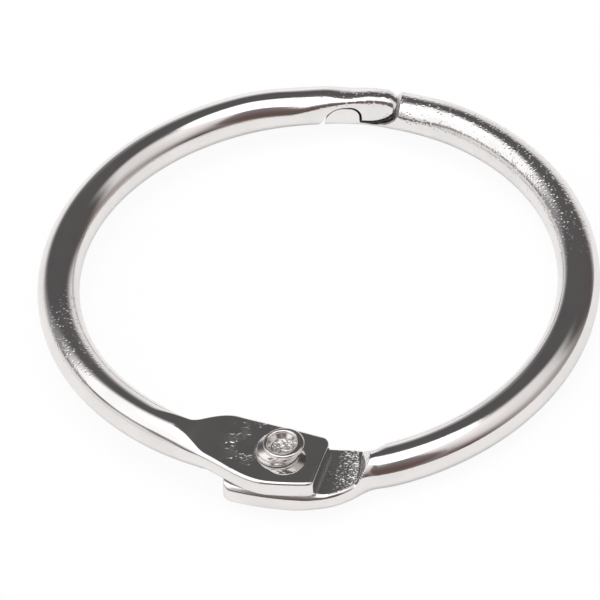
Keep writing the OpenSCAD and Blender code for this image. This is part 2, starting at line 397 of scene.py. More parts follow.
def end_section(ring, s, tab, trim):
    """Section of a flattened end at distance s from the rivet, drawn in by the share trim of its corners."""
    ring_r, wire_r = ring.ring_r, ring.wire_r
    axis = ring_r * direction(s / ring_r)
    turned = ease(s, ring.tab_root + tab.turn_lead, tab.turn_run)
    across = direction(mix(max(s, ring.tab_root) / ring_r, tab.end, turned))
    square = direction(tab.skew)
    edge = (ring_r - wire_r - tab.inset - axis.dot(square)) / across.dot(square)
    along = axis.dot(across)
    outset = tab.outset + tab.flare * s
    rim = sqrt(along * along - axis.dot(axis) + (ring_r + wire_r + outset) ** 2) - along
    wire_z = ring.lift * (1 + cos(s / ring_r)) / 2
    spread = swell(s, ring.tab_root + INNER_LEAD, ring.inner_run)
    # In the section, u runs outwards from the wire's axis and z up. u0 and u1 are the inner and outer sides,
    # and z0 and z1 the mating and outer faces. The outer side stays round for longer than the inner one.
    sunk = ease(s, ring.tab_root + tab.sink_lead, ring.face_run)
    z1 = mix(wire_z + wire_r, ring.face_z, sunk) - trim * ring.edge_r
    face_r = mix(mix(wire_r, tab.shoulder_r, sunk), ring.edge_r, ease(s, tab.shoulder_from, tab.shoulder_run))
    in_r = mix(wire_r, ring.edge_r, ease(s, ring.tab_root + tab.corner_lead, tab.corner_run))
    u0 = mix(-wire_r, edge, spread) + trim * ring.inner_corner
    u_in = u0 + (1 - (1 - sin(HELD)) / cos(HELD)) * (face_r - in_r)
    u1 = mix(wire_r, rim, tab.rim_change(s, ring.tab_root + tab.rim_lead, tab.run)) - trim * ring.outer_corner
    # The mating side: the round wire pressed down to a plane, then a rolled edge
    z0 = mix(wire_z - wire_r, ring.face_gap / 2, slope(s, ring.step_r + tab.ramp, tab.ramp + tab.foot))
    rolled = ease(s, ring.step_r + ROLL_LEAD, ROLL_RUN)
    turned_r = mix(tab.mate_r, tab.under_r, ease(s, ring.step_r - UNDER_LAG, UNDER_RUN))
    roll = min(turned_r, z1 - z0 - face_r) if rolled else wire_r
    tuck = ring.edge_r / 2
    low_in = [
        (
            u0 + wire_r + wire_r * cos(a),
            max(wire_z + wire_r * sin(a), z0),
            u0 + tuck + tuck * cos(a),
            z0 + tuck + tuck * sin(a),
        )
        for a in [pi + QUARTER_TURN * k / CORNER for k in range(CORNER + 1)]
    ]
    low_out = [
        (
            u1 - wire_r + wire_r * cos(a),
            max(wire_z + wire_r * sin(a), z0),
            u1 - turned_r * (1 - cos(a)),
            z0 + roll * (1 + sin(a)),
        )
        for a in [-QUARTER_TURN + QUARTER_TURN * k / CORNER for k in range(CORNER + 1)]
    ]
    outline = (
        arc(u1 - face_r, z1 - face_r, face_r, 0, 90, CORNER)
        + arc(u_in + in_r, z1 - in_r, in_r, 90, 180, CORNER)
        + [(mix(ua, ub, rolled), mix(za, zb, rolled)) for ua, za, ub, zb in low_in + low_out]
    )
    return [(axis.x + u * across.x, axis.y + u * across.y, z) for u, z in outline]


def flattened_end(ring, tab):
    """The flattened end as it grows out of the wire, up to its rounded tip."""
    stop = ring.inner_corner - tab.reach
    foot, head = ring.step_r - RAMP_MARGIN, ring.step_r + tab.ramp
    steps = [(mix(ring.tab_root + LEAD, head, k / LONG_RINGS), 0) for k in range(LONG_RINGS)]
    steps += [(mix(head, foot, k / RAMP_RINGS), 0) for k in range(RAMP_RINGS)]
    steps += [(mix(foot, stop, k / LONG_RINGS), 0) for k in range(LONG_RINGS + 1)]
    tip = [radians(TIP_TURN * k / TIP_RINGS) for k in range(1, TIP_RINGS + 1)]
    steps += [(stop - ring.inner_corner * sin(a), 1 - cos(a)) for a in tip]
    return skin([end_section(ring, s, tab, trim) for s, trim in steps], "end")


def wire(ring, start, stop_s, nose):
    """The round wire from its nose past the clasp to a distance short of the rivet, climbing to the hinge."""
    ring_r = ring.ring_r
    a = radians(start)
    sweep = radians(270 - start) - stop_s / ring_r
    first = Vector((ring_r * cos(a), ring_r * sin(a), 0))
    back = Vector((sin(a), -cos(a), 0))
    # The nose: rings that grow along a quarter ellipse, off centre
    grown = [sin(QUARTER_TURN * k / NOSE_RINGS) for k in range(1, NOSE_RINGS + 1)] if nose.length else [1.0]
    places = [first + back * nose.length * sqrt(1 - f * f) + (1 - f) * nose.aim for f in grown]
    rest()
    bpy.ops.mesh.primitive_circle_add(
        vertices=4 * CORNER,
        radius=ring.wire_r * grown[0],
        fill_type="NOTHING",
        location=places[0],
        rotation=(QUARTER_TURN, 0, a),
    )
    obj = bpy.context.object
    bpy.ops.object.transform_apply(location=True, rotation=True, scale=True)
    edit(obj, "EDGE")
    bpy.ops.mesh.select_all(action="SELECT")
    for k in range(1, len(grown)):
        bpy.ops.mesh.extrude_region_move(TRANSFORM_OT_translate={"value": places[k] - places[k - 1]})
        grow = grown[k] / grown[k - 1]
        bpy.ops.transform.resize(value=(grow, grow, grow), center_override=places[k])
    bpy.ops.mesh.spin(steps=BEND_RINGS, angle=sweep, center=(0, 0, 0), axis=(0, 0, -1))
    bpy.ops.mesh.select_all(action="SELECT")
    climb = atan2(ring.lift, 2 * ring_r)
    bpy.ops.transform.rotate(
        value=climb, orient_axis="X", orient_type="GLOBAL", center_override=(0, ring_r, 0)
    )
    rest()
    return obj


def half(ring, start, tab, nose):
    """A wire half whose tab lies on top: the wire and its flattened end, bridged."""
    body = wire(ring, start, ring.tab_root + LEAD + SEAM, nose)
    end = flattened_end(ring, tab)
    only(body)
    end.select_set(True)
    bpy.ops.object.join()
    obj = bpy.context.object
    seam = direction((ring.tab_root + LEAD + SEAM / 2) / ring.ring_r) * ring.ring_r
    open_edges(obj)
    keep(obj, lambda v: (v.xy - seam).length < ring.wire_d)
    bpy.ops.mesh.bridge_edge_loops()
    open_edges(obj)
    bpy.ops.mesh.fill_holes(sides=0)
    return outward(obj)


def open_edges(obj):
    """Selects the edges of holes."""
    edit(obj, "EDGE")
    bpy.ops.mesh.select_non_manifold(
        extend=False, use_wire=False, use_multi_face=False, use_non_contiguous=False, use_verts=False
    )


def keep(obj, test):
    """Keeps only those selected edges whose ends all pass the test."""
    bpy.ops.object.mode_set(mode="OBJECT")
    for e in obj.data.edges:
        if e.select and not all(test(obj.data.vertices[i].co) for i in e.vertices):
            e.select = False
    bpy.ops.object.mode_set(mode="EDIT")


def drill(obj, ring, rivet):
    """The rivet's hole through the tab."""
    rest()
    bpy.ops.mesh.primitive_cylinder_add(
        vertices=128,
        radius=rivet.shank_d / 2 + ring.pivot_gap,
        depth=2 * TALL,
        location=(0, -ring.ring_r, 0),
    )
    cut(obj, bpy.context.object)


def hump(clasp, gap):
    """Outline of the hook's hump, grown by the gap, run down past the wire."""
    left = -clasp.hook_left + clasp.hook_left_r
    right = clasp.hook_right - clasp.hook_right_r
    return (
        [(-clasp.hook_left - gap, -TALL)]
        + arc(left, clasp.hook_crest - clasp.hook_left_r, clasp.hook_left_r + gap, 180, 90)
        + arc(right, clasp.hook_crest - clasp.hook_right_r, clasp.hook_right_r + gap, 90, 0)
        + [(clasp.hook_right + gap, -TALL)]
    )


def left_cutters(ring, clasp):
    """What is cut from the left half past its shoulder: what lies under the bulb, and room for the hump."""
    root = -clasp.hook_left - clasp.clasp_gap
    under = (
        [(root - clasp.shoulder_lean, -ring.wire_r), (root, -clasp.bulb_drop)]
        + arc(clasp.bulb_x, clasp.bulb_r - clasp.bulb_drop, clasp.bulb_r, -90, 90)
        + [(clasp.bulb_x, TALL), (WIDE, TALL), (WIDE, -TALL), (root - clasp.shoulder_lean, -TALL)]
    )
    return [prism(under, "under"), prism(hump(clasp, clasp.clasp_gap), "round")]


def right_cutter(clasp):
    """What is cut from the right half: room for the neck and the bulb, but not the hump."""
    x = clasp.bulb_x + clasp.nose_gap
    grown = clasp.bulb_r + clasp.clasp_gap
    low = -clasp.bulb_drop - clasp.clasp_gap
    pocket = (
        [(-WIDE, -TALL), (clasp.bulb_x - clasp.bulb_r, -TALL), (clasp.bulb_x - clasp.bulb_r, low)]
        + arc(x, clasp.bulb_r - clasp.bulb_drop, grown, -90, 90)
        + [(x, TALL), (-WIDE, TALL)]
    )
    return cut(prism(pocket, "pocket"), prism(hump(clasp, 0), "kept"))


def press_flat(obj, ring, clasp, x, r, hollow):
    """Presses a flat into the clasp's inner side: a wall of radius r from above, with a rounded crease."""
    only(obj)
    for v in obj.data.vertices:
        if v.co.y < CLASP_SIDE * ring.ring_r or abs(v.co.x - x) > FLAT_SHARE * r:
            continue
        bow = sqrt(r * r - (v.co.x - x) ** 2) - r
        wall = ring.ring_r - clasp.inner_flat + bow + hollow * max(v.co.z, 0) ** 2
        past_neck = clamp01((v.co.x - clasp.neck_x) / (clasp.bulb_x - clasp.neck_x))
        crease = clasp.crease * mix(NECK_CREASE, 1, past_neck)
        near = max(crease - abs(v.co.y - wall), 0) / crease
        v.co.y = max(v.co.y, wall) + near * near * crease / 4


def pinch_neck(obj, ring, clasp):
    """Presses the waist into the neck with a soft proportional pull."""
    out = Vector((0, sin(clasp.neck_lean), cos(clasp.neck_lean)))
    spot = Vector((clasp.neck_x, ring.ring_r, 0)) + ring.wire_r * out
    edit(obj)
    nearest = min(obj.data.vertices, key=lambda v: (v.co - spot).length).co.copy()
    pick(obj, lambda v: (v - nearest).length < PINCH)
    bpy.ops.transform.translate(
        value=-clasp.neck_dip * out,
        use_proportional_edit=True,
        proportional_edit_falloff="SMOOTH",
        proportional_size=clasp.neck_half + PINCH,
    )
    rest()


def squash(obj, ring, x0, x1, part, reach):
    """Squashes the clasp's wire to a part of its height, from x0 to x1 and fading over the reach beyond."""
    edit(obj)
    pick(obj, lambda v: x0 < v.x < x1 and v.y > 0)
    bpy.ops.transform.resize(
        value=(1, 1, part),
        center_override=(0, ring.ring_r, -ring.wire_r),
        use_proportional_edit=True,
        proportional_edit_falloff="SMOOTH",
        proportional_size=reach,
    )
    rest()


# How the press shapes a tab. A lead tells how far out from the tab's root a change begins, and a run how long
# it takes towards the rivet. Both are in millimetres, and so are the radii.
#   reach, inset, outset: how far the tab reaches past the rivet, and stands in and out past the wire
#   skew, end: slopes of its inner edge and of its end
#   flare: how much further the outer edge stands out per millimetre away from the rivet
#   run, rim_lead, rim_change: the outer edge spreads, and the curve that it follows
#   sink_lead: the outer face sinks to the tab's level
#   turn_lead, turn_run: the sections turn from across the wire to across the tab
#   corner_lead, corner_run: the outer face's inner corner sharpens to the edge radius
#   shoulder_r, shoulder_from, shoulder_run: radius of the outer corner on the shoulder, and where, measured
#       from the rivet, it sharpens to the edge radius
#   mate_r, under_r: rolled radius of the mating side's outer edge beside the step, and under the rivet
#   ramp, foot: length of the ramp outside and inside the step's radius


def upper_tab(tabs):
    """The left half's tab, which lies on top."""
    return SimpleNamespace(
        reach=tabs.upper_reach,
        inset=tabs.upper_in,
        skew=tabs.upper_skew,
        outset=tabs.upper_out,
        run=tabs.upper_run,
        end=tabs.upper_end,
        flare=0,
        sink_lead=0.9,
        turn_lead=0,
        turn_run=7.1,
        rim_change=ease,
        rim_lead=-0.6,
        corner_lead=2.6,
        corner_run=1.82,
        shoulder_r=0.3,
        shoulder_from=3.4,
        shoulder_run=4.2,
        mate_r=0.45,
        under_r=0.4,
        ramp=0.35,
        foot=0,
    )


def lower_tab(tabs):
    """The right half's tab, which lies underneath. It is shaped face up, and turned over with its half."""
    return SimpleNamespace(
        reach=tabs.lower_reach,
        inset=tabs.lower_in,
        skew=0,
        outset=tabs.lower_out,
        run=tabs.lower_run,
        end=0,
        flare=0.057,
        sink_lead=0.4,
        turn_lead=1.5,
        turn_run=2.6,
        rim_change=swell,
        rim_lead=-0.3,
        corner_lead=0.6,
        corner_run=0.42,
        shoulder_r=0.55,
        shoulder_from=2.5,
        shoulder_run=2,
        mate_r=0.26,
        under_r=0.5,
        ramp=0.5,
        foot=0.08,
    )


class RING_OT_left_half(bpy.types.Operator):
    """Model the left half: the wire with the upper tab and the bulb of the clasp"""

    bl_idname = "ring.left_half"
    bl_label = "Left half"

    def execute(self, context):
        ring, tabs, clasp, rivet = sizes(context)
        tip = clasp.bulb_x + clasp.bulb_r
        start = degrees(acos((tip - clasp.nose_r) / ring.ring_r))
        # The nose tapers to a point that lies this far off the wire's axis, in millimetres
        nose = SimpleNamespace(length=clasp.nose_r, aim=Vector((0, -0.1, 0.45)))
        obj = half(ring, start, upper_tab(tabs), nose)
        squash(obj, ring, x0=-2.2, x1=9, part=0.905, reach=3.5)
        pinch_neck(obj, ring, clasp)
        press_flat(obj, ring, clasp, x=clasp.bulb_x, r=clasp.bulb_flat_r, hollow=clasp.bulb_hollow)
        for cutter in left_cutters(ring, clasp):
            cut(obj, cutter)
        drill(obj, ring, rivet)
        finished(obj, "left_half", bright_nickel(context), "left_half", "nickel_wire", "left_half_ring")
        return {"FINISHED"}


class RING_OT_right_half(bpy.types.Operator):
    """Model the right half: the wire with the lower tab and the hook of the clasp"""

    bl_idname = "ring.right_half"
    bl_label = "Right half"

    def execute(self, context):
        ring, tabs, clasp, rivet = sizes(context)
        obj = half(ring, HOOK_START, lower_tab(tabs), SimpleNamespace(length=0, aim=Vector()))
        edit(obj)
        bpy.ops.mesh.select_all(action="SELECT")
        bpy.ops.transform.rotate(value=pi, orient_axis="Y", orient_type="GLOBAL", center_override=(0, 0, 0))
        rest()
        squash(obj, ring, x0=-9, x1=3.4, part=0.92, reach=3)
        press_flat(obj, ring, clasp, x=0, r=clasp.hook_flat_r, hollow=0)
        cut(obj, right_cutter(clasp))
        drill(obj, ring, rivet)
        finished(obj, "right_half", bright_nickel(context), "right_half", "nickel_wire", "right_half_ring")
        return {"FINISHED"}


# ---------------------------------------------------------------- the rivet

NEEDLE = 1e-3  # no ring is smaller than this radius, in millimetres


def turned(rings, centre, name, sides=96):
    """A turned body: its first ring, as (radius, height, x offset), extruded to the others."""
    rest()
    r, z, dx = rings[0]
    bpy.ops.mesh.primitive_circle_add(
        vertices=sides, radius=r, fill_type="NGON", location=(centre[0] + dx, centre[1], z)
    )
    obj = bpy.context.object
    obj.name = name
    bpy.ops.object.transform_apply(location=True, rotation=True, scale=True)
    edit(obj, "EDGE")
    bpy.ops.mesh.select_all(action="SELECT")
    for r1, z1, dx1 in rings[1:]:
        bpy.ops.mesh.extrude_region_move(TRANSFORM_OT_translate={"value": (dx1 - dx, 0, z1 - z)})
        grow = max(r1, NEEDLE) / r
        bpy.ops.transform.resize(value=(grow, grow, 1), center_override=(centre[0] + dx1, centre[1], z1))
        r, z, dx = max(r1, NEEDLE), z1, dx1
    return outward(obj)


def rivet_rings(ring, rivet):
    """The rivet's rings as (radius, height, x offset), from under the foot up to the rim and into the cup."""
    face_z = ring.face_z
    under = -face_z - ring.face_gap
    foot = under - rivet.foot_h
    top = face_z + rivet.head_h
    diameters = rivet.shank_d, rivet.foot_d, rivet.head_d, rivet.rim_d, rivet.cup_d
    shank_r, foot_r, head_r, rim_r, cup_r = (d / 2 for d in diameters)
    tube_r = rivet.rim_t / 2
    # The head leans over: its foot, its rim and its mouth lie this far off the shank's axis
    low, high, mouth = -rivet.lean, 0.12 * rivet.lean, -0.15 * rivet.lean
    # The ledge rolled down on the tab, the fold above it, and the cone from there to the rim
    ledge_r = 0.09
    fold_r, fold_in, fold_up, fold_lean = 0.1, 0.15, 0.26, 0.9 * low
    cone_in, cone_up, cone_lean, cone_drop = 0.11, 0.36, 0.85 * low, 0.2
    centre_r, chamfer = 0.02, rivet.foot_chamfer
    rings = [(centre_r, foot, 0), (foot_r - chamfer, foot, 0)]
    rings += [(x, z, 0) for x, z in arc(foot_r - chamfer, foot + chamfer, chamfer, -80, 0, 6)]
    rings += [(foot_r, under, 0), (shank_r, under, 0), (shank_r, face_z, 0)]
    rings += [(x, z, low) for x, z in arc(head_r - ledge_r, face_z + ledge_r, ledge_r, -90, 60, 12)]
    rings += [(x, z, fold_lean) for x, z in arc(head_r - fold_in, face_z + fold_up, fold_r, -30, 60, 8)]
    rings += [
        (
            mix(head_r - cone_in, rim_r, k / 5),
            mix(face_z + cone_up, top - cone_drop, k / 5),
            mix(cone_lean, high, k / 5),
        )
        for k in range(6)
    ]
    rings += [(x, z, high) for x, z in arc(rim_r - tube_r, top - tube_r, tube_r, -30, 100, 12)]
    # The rim rolls in to the mouth, and the cup has a tapered wall down to a round floor
    roll_r = rim_r - 1.4 * tube_r
    wall_r = roll_r - tube_r
    wall_share = 0.75
    rings += [(x, z, mouth) for x, z in arc(roll_r, top - tube_r, tube_r, 110, 180, 6)]
    floor_z = top - wall_share * rivet.cup_depth
    rings += [(mix(wall_r, cup_r, k / 4), mix(top - tube_r, floor_z, k / 4), mouth) for k in range(1, 5)]
    bowl = (1 - wall_share) * rivet.cup_depth
    bowl_turns = [radians(a) for a in (8, 16, 24, 32, 40, 50, 60, 70, 80, 88)]
    rings += [(cup_r * cos(a), floor_z - bowl * sin(a), mouth) for a in bowl_turns]
    return rings


class RING_OT_rivet(bpy.types.Operator):
    """Model the hollow rivet that holds the tabs together"""

    bl_idname = "ring.rivet"
    bl_label = "Rivet"

    def execute(self, context):
        ring, _, _, rivet = sizes(context)
        obj = turned(rivet_rings(ring, rivet), (0, -ring.ring_r), "rivet")
        finished(obj, "rivet", rivet_nickel(context), "left_half", "nickel_rivet", "hinge_rivet")
        return {"FINISHED"}


# ---------------------------------------------------------------- finishes


def node(tree, kind, inputs=None, name="", **settings):
    """Adds a shader node with its settings. A node given as an input stands for its first output in use."""
    made = tree.nodes.new("ShaderNode" + kind)
    made.label = name
    for key, value in settings.items():
        setattr(made, key, value)
    for key, value in (inputs or {}).items():
        if isinstance(value, bpy.types.Node):
            value = next(socket for socket in value.outputs if socket.enabled)
        if isinstance(value, bpy.types.NodeSocket):
            tree.links.new(value, made.inputs[key])
        else:
            made.inputs[key].default_value = value
    return made


def material(name):
    """An empty material and its node tree."""
    made = bpy.data.materials.new(name)
    made.use_nodes = True
    made.node_tree.nodes.clear()
    return made, made.node_tree


PATCHES = {
    # name: centre, radius and softness of the edge, in millimetres
    "coarse plate on the right": ((8, 10, 0), 9, 3),
    "coarse plate on the left": ((-11.9, -6.4, 1), 3.1, 1.6),
    "stippled face": ((0, -13.6, 0), 3.72, 0.08),
    "scuffs": ((-1.7, -13.2, 1.1), 1.6, 0.7),
    "cup": ((0, -13.6, 0.9), 0.8, 0.03),
}
# The part of the stippled face that is the lower tab's landing: an axis, and from where to where along it,
# in millimetres, the stipple sets in
LANDING = (("Z", -0.03, -0.015), ("Z", 0.06, 0.02), ("X", 1.8, 3.8))


def patch(tree, place, name):
    """1 inside the named patch of the surface and 0 outside it."""
    centre, r, soft = PATCHES[name]
    away = node(tree, "VectorMath", {0: place, 1: tuple(x * MM for x in centre)}, operation="DISTANCE")
    edge = {"From Min": (r - soft) * MM, "From Max": (r + soft) * MM, "To Min": 1.0, "To Max": 0.0}
    return node(tree, "MapRange", {"Value": away, **edge}, name, interpolation_type="SMOOTHSTEP")


def uneven(tree, place, size, amount, where=1.0, detail=1.0):
    """Noise from 0 to an amount, with features of a size in millimetres, times a mask."""
    noise = node(tree, "TexNoise", {"Vector": place, "Scale": 1 / (size * MM), "Detail": detail})
    masked = node(tree, "Math", {0: noise, 1: where}, operation="MULTIPLY")
    return node(tree, "Math", {0: masked, 1: amount}, operation="MULTIPLY")


def plate(tree, place, height, rough, tint, haze, metal=1.0, shut=0.2, free=0.75):
    """Nickel plate over a height in micrometres, with faint clouds in its tone and painted shade in its
    crevices.

    The painted shade, a dark brown that also takes away the metal, is full where a point sees the share shut
    of the open sky, and gone where it sees the share free.
    """
    bump = node(tree, "Bump", {"Height": height, "Distance": MICRON})
    # Painted shade: walls nearer to each other than this reach, in millimetres, darken and lose their metal
    crevice_reach = 0.3
    sky = node(tree, "AmbientOcclusion", {"Distance": crevice_reach * MM}, samples=8).outputs["AO"]
    fade = {"Value": sky, "From Min": shut, "From Max": free}
    clear = node(tree, "MapRange", fade, interpolation_type="SMOOTHSTEP")
    cloud_size, cloud_from, cloud_to, cloud_tone = 2.5, 0.35, 0.7, 0.93
    noise = node(tree, "TexNoise", {"Vector": place, "Scale": 1 / (cloud_size * MM), "Detail": 3.0})
    fade = {"Value": noise, "From Min": cloud_from, "From Max": cloud_to}
    cloud = node(tree, "MapRange", fade, interpolation_type="SMOOTHSTEP")
    tints = {6: (*tint, 1), 7: (*(cloud_tone * part for part in tint), 1)}
    clean = node(tree, "Mix", {0: cloud, **tints}, data_type="RGBA")
    # Painted shade: crevices that see little of the open sky turn dark brown
    base = node(tree, "Mix", {0: clear, 6: (*linear("#3A3230"), 1), 7: clean}, data_type="RGBA")
    shader = node(
        tree,
        "BsdfPrincipled",
        {
            "Base Color": base,
            "Metallic": node(tree, "Math", {0: clear, 1: metal}, operation="MULTIPLY"),
            "Roughness": node(tree, "Math", {0: haze, 1: rough}, operation="ADD"),
            "Normal": bump,
        },
    )
    node(tree, "OutputMaterial", {"Surface": shader})


def bright_nickel(context):
    """Bright nickel, barrel plated on drawn and pressed steel wire.

    The eye sees a mirror with a faint orange peel, coarser and pitted in two places. The press leaves a
    stipple on the lower tab's landing, and handling leaves scuffs beside the rivet. Peel and pits are finer
    on the real plate, and are drawn as coarse as they need to show. Sizes are in millimetres, heights in
    micrometres.
    """
    peel_size, peel_height, coarse_height = 0.1, 0.8, 4.0
    pit_size, pit_height = 0.17, 36.0
    stipple_size, stipple_height = 0.21, 125.0
    scuff_size, scuff_height = 0.34, 44.0
    streak_size, streak_from, streak_to = 0.9, 0.5, 0.62
    haze_size, haze_amount, scuff_haze, stipple_haze, coarse_haze = 1.3, 0.04, 0.16, 0.1, 0.05
    left_share = 0.7
    finish = context.scene.ring_finish
    made, tree = material("bright_nickel_plate")
    place = node(tree, "TexCoord").outputs["Object"]
    # The plate is coarse on the right, and less so on the left
    right = patch(tree, place, "coarse plate on the right")
    left = patch(tree, place, "coarse plate on the left")
    left = node(tree, "Math", {0: left, 1: left_share}, operation="MULTIPLY")
    coarse = node(tree, "Math", {0: right, 1: left}, operation="MAXIMUM")
    grown = node(tree, "Math", {0: coarse, 1: coarse_height, 2: peel_height}, operation="MULTIPLY_ADD")
    peel = uneven(tree, place, peel_size, grown, detail=1.5)
    # Each cell of the coarse plate is a pit or a nodule of its own depth
    cell = node(tree, "TexVoronoi", {"Vector": place, "Scale": 1 / (pit_size * MM)})
    chance = node(tree, "SeparateColor", {0: cell.outputs["Color"]})
    depth = node(tree, "Math", {0: chance, 1: 0.5}, operation="SUBTRACT")
    fade = {"Value": cell, "From Min": 0.5, "From Max": 0.0}
    pit = node(tree, "MapRange", fade, interpolation_type="SMOOTHSTEP")
    for part in (depth, coarse, pit_height):
        pit = node(tree, "Math", {0: pit, 1: part}, operation="MULTIPLY")
    # The stippled landing
    spot = node(tree, "SeparateXYZ", {0: place})
    stippled = patch(tree, place, "stippled face")
    for axis, out, full in LANDING:
        fade = {"Value": spot.outputs[axis], "From Min": out * MM, "From Max": full * MM}
        inside = node(tree, "MapRange", fade, interpolation_type="SMOOTHSTEP")
        stippled = node(tree, "Math", {0: stippled, 1: inside}, operation="MULTIPLY")
    stipple = uneven(tree, place, stipple_size, stipple_height, stippled, detail=1.5)
    # The scuffs, in streaks
    noise = node(tree, "TexNoise", {"Vector": place, "Scale": 1 / (streak_size * MM), "Detail": 3.0})
    fade = {"Value": noise, "From Min": streak_from, "From Max": streak_to}
    streaks = node(tree, "MapRange", fade, interpolation_type="SMOOTHSTEP")
    beside_rivet = patch(tree, place, "scuffs")
    scuffed = node(tree, "Math", {0: beside_rivet, 1: streaks}, operation="MULTIPLY")
    height = uneven(tree, place, scuff_size, scuff_height, scuffed)
    for part in (peel, stipple, pit):
        height = node(tree, "Math", {0: height, 1: part}, operation="ADD")
    # A haze that varies, and is duller where the plate is scuffed, stippled or coarse
    rough = uneven(tree, place, haze_size, haze_amount, detail=3.0)
    for where, dulled in ((scuffed, scuff_haze), (stippled, stipple_haze), (coarse, coarse_haze)):
        rough = node(tree, "Math", {0: where, 1: dulled, 2: rough}, operation="MULTIPLY_ADD")
    plate(tree, place, height, rough, finish.nickel, finish.haze)
    return made


def rivet_nickel(context):
    """Nickel on a rolled brass rivet.

    The eye sees a soft mirror on the rim, and a dented and frosted floor in the cup, where the rolling tool
    never rubbed it bright. Sizes are in millimetres, heights in micrometres.
    """
    peel_size, peel_height = 0.25, 2.5
    dent_size, dent_height = 0.26, 190.0
    haze_size, haze_amount, cup_haze, cup_dull = 0.6, 0.08, 0.22, 0.08
    finish = context.scene.ring_finish
    made, tree = material("rivet_nickel_plate")
    place = node(tree, "TexCoord").outputs["Object"]
    cup = patch(tree, place, "cup")
    peel = uneven(tree, place, peel_size, peel_height)
    dents = uneven(tree, place, dent_size, dent_height, cup)
    height = node(tree, "Math", {0: peel, 1: dents}, operation="ADD")
    rough = uneven(tree, place, haze_size, haze_amount, detail=3.0)
    rough = node(tree, "Math", {0: cup, 1: cup_haze, 2: rough}, operation="MULTIPLY_ADD")
    metal = node(tree, "Math", {0: cup, 1: -cup_dull, 2: 1.0}, operation="MULTIPLY_ADD")
    plate(tree, place, height, rough, finish.rivet, finish.rivet_haze, metal, shut=0.1, free=0.55)
    return made


def paper_floor(context):
    """Matt white paper: to the eye plain white under a faint shadow. The plate mirrors more of its shade."""
    seen_glow, mirrored_glow = 0.93, 0.2
    made, tree = material("paper_floor")
    paper = node(tree, "BsdfDiffuse", {"Color": (*context.scene.ring_stage.floor, 1)})
    glow = node(tree, "Emission", {"Color": (1, 1, 1, 1), "Strength": 1.0})
    path = node(tree, "LightPath").outputs
    seen = node(tree, "Math", {0: path["Is Camera Ray"], 1: seen_glow}, operation="MULTIPLY")
    mirrored = node(tree, "Math", {0: path["Is Glossy Ray"], 1: mirrored_glow}, operation="MULTIPLY")
    part = node(tree, "Math", {0: seen, 1: mirrored}, operation="MAXIMUM")
    both = node(tree, "MixShader", {0: part, 1: paper, 2: glow})
    node(tree, "OutputMaterial", {"Surface": both})
    return made


# ---------------------------------------------------------------- the stage

# The even light of the pale room, and what hangs or stands in it: each is a bar with round ends
ROOM, ROOM_GAIN = "#F1EDEC", 1.005
CARDS = [
    # name, from (bearing, height), to, half width, softness in degrees, colour, gain
    ("white sheet overhead on the left", (-79, 82), (-108, 45), 27.5, 2.2, "#FFFEFE", 1.24),
    ("white sheet beyond the left end", (-75, 28), (-32, 11), 5.2, 3.4, "#FFFEFF", 1.74),
    ("white sheet overhead on the right", (101, 60), (110, 58), 9.5, 18.6, "#FFF6F6", 1.21),
    ("dark room over the camera", (150, 29), (189, 66), 18.5, 4.2, "#8B8286", 1),
    ("grey ceiling", (189, 28), (17, 76), 17.8, 6.7, "#8B8586", 1),
    ("white table ahead", (-15, 2), (-52, -55), 15.7, 10, "#FEFEFF", 1.14),
    ("dark room beside the camera", (151, 15), (188, 0), 23, 23, "#6C5953", 1),
    ("dim wall on the right", (52, 9), (122, 6), 10.8, 19.6, "#4D2919", 1),
    ("grey wall on the left", (-33, 19), (-65, 21), 13.3, 10, "#999698", 1),
    ("dark flag on the right", (14, 40), (46, 25), 18.1, 9.2, "#5E5A5A", 1),
    ("dark flag on the left", (12, 55), (-39, 31), 18.1, 10, "#5E5B5C", 1),
    ("edge of the table on the left", (-76, 14.5), (-99, 17.5), 3.2, 4, "#7A7073", 1),
    ("edge of the table further left", (-99, 17.5), (-122, 21), 3.2, 4, "#7A7073", 1),
    ("edge of the table near the camera", (-126, 17), (-137, 12), 4.5, 4, "#8E8487", 1),
    ("edge of the table by the camera", (-138, 11), (-158, 8), 5.5, 5, "#5E5456", 1),
    ("white sheet above the room", (127, 82), (-189, 51), 7.9, 10, "#FCFCFF", 1.37),
    ("white sheet over the camera", (163, 71), (-165, 63), 16, 4, "#FFFFFF", 1.7),
    ("white sheet straight overhead", (141, 77), (-117, 72), 22, 2.5, "#FFFFFF", 1.7),
    ("white sheet overhead to the right", (68, 79), (120, 74), 12.5, 2.5, "#FFFFFF", 1.5),
]
FLOOR_SIZE = 4.0  # metres
LAMP_SIZE, LAMP_HEIGHT, LAMP_POWER = 0.5, 0.6, 1.2  # metres, metres and watts
SENSOR, LENS = 36, 240.94  # width of the sensor and focal length, in millimetres
PICTURE = 600  # width and height of the picture in pixels
RING_SEEN = (318.24, 277.04)  # where the ring's centre falls in the picture, in pixels from its top left
CAMERA_FAR = 0.210  # metres from the ring's centre
CAMERA_UP = 44.071  # degrees over the table
CAMERA_ROUND = 10.15  # degrees to the right of the hinge's side
CAMERA_ROLL = -4.515  # degrees
CLIP_NEAR, CLIP_FAR = 0.01, 10  # metres


def bearing(az, el):
    """Direction at an angle round from +Y towards +X and an angle up, in degrees."""
    a, e = radians(az), radians(el)
    return Vector((sin(a) * cos(e), cos(a) * cos(e), sin(e)))


